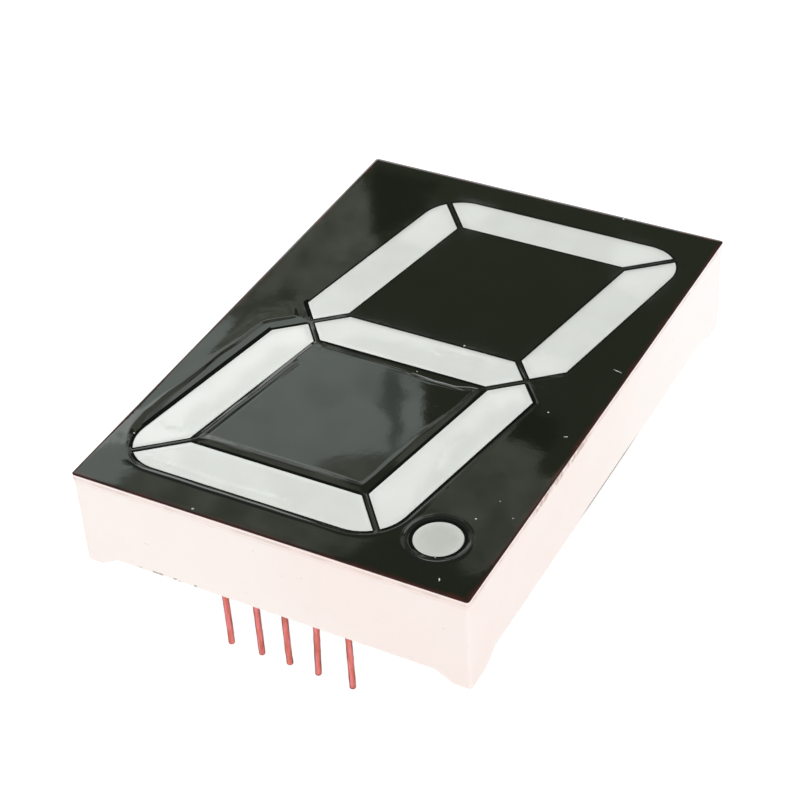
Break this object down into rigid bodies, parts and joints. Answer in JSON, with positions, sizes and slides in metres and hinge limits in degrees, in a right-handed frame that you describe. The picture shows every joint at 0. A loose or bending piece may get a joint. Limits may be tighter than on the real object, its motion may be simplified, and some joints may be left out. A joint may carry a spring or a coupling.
{
  "type": "seven segment display",
  "caption": "Flat rectangular numeric display with a slanted segmented digit and a decimal point on a black face, a white housing and a row of pins at each end.",
  "frame": {"origin": "middle of the ten pins, on the plane of the four corner feet, where the circuit board that carries the display lies", "axes": "+Z out of the black face, +Y towards the top of the digit, +X to the right of the digit as it is read; the pins point along -Z"},
  "size_m": [0.032, 0.0468, 0.0143],
  "materials": {
    "shell_plastic": "white moulded plastic with a faint pink warmth, satin",
    "face_film": "glossy black film, slightly uneven",
    "diffuser_resin": "milky white cast resin, glossy",
    "dot_resin": "milky grey-white cast resin, glossy",
    "board_laminate": "glass-filled laminate under green solder resist",
    "die_semiconductor": "sawn semiconductor",
    "bond_wire": "bright drawn gold wire",
    "solder": "bright tin solder",
    "pin_metal": "copper-red coated wire, satin"
  },
  "bodies": {
    "root": {"housing": "shell_plastic", "face_mask": "face_film", "decimal_point": "dot_resin", "circuit_board": "board_laminate", "led_dice": "die_semiconductor", "bond_wires": "bond_wire", "solder_joints": "solder", "segment_a": "diffuser_resin", "segment_b": "diffuser_resin", "segment_c": "diffuser_resin", "segment_d": "diffuser_resin", "segment_e": "diffuser_resin", "segment_f": "diffuser_resin", "segment_g": "diffuser_resin", "pin_1": "pin_metal", "pin_2": "pin_metal", "pin_3": "pin_metal", "pin_4": "pin_metal", "pin_5": "pin_metal", "pin_6": "pin_metal", "pin_7": "pin_metal", "pin_8": "pin_metal", "pin_9": "pin_metal", "pin_10": "pin_metal"}
  },
  "joints": []
}
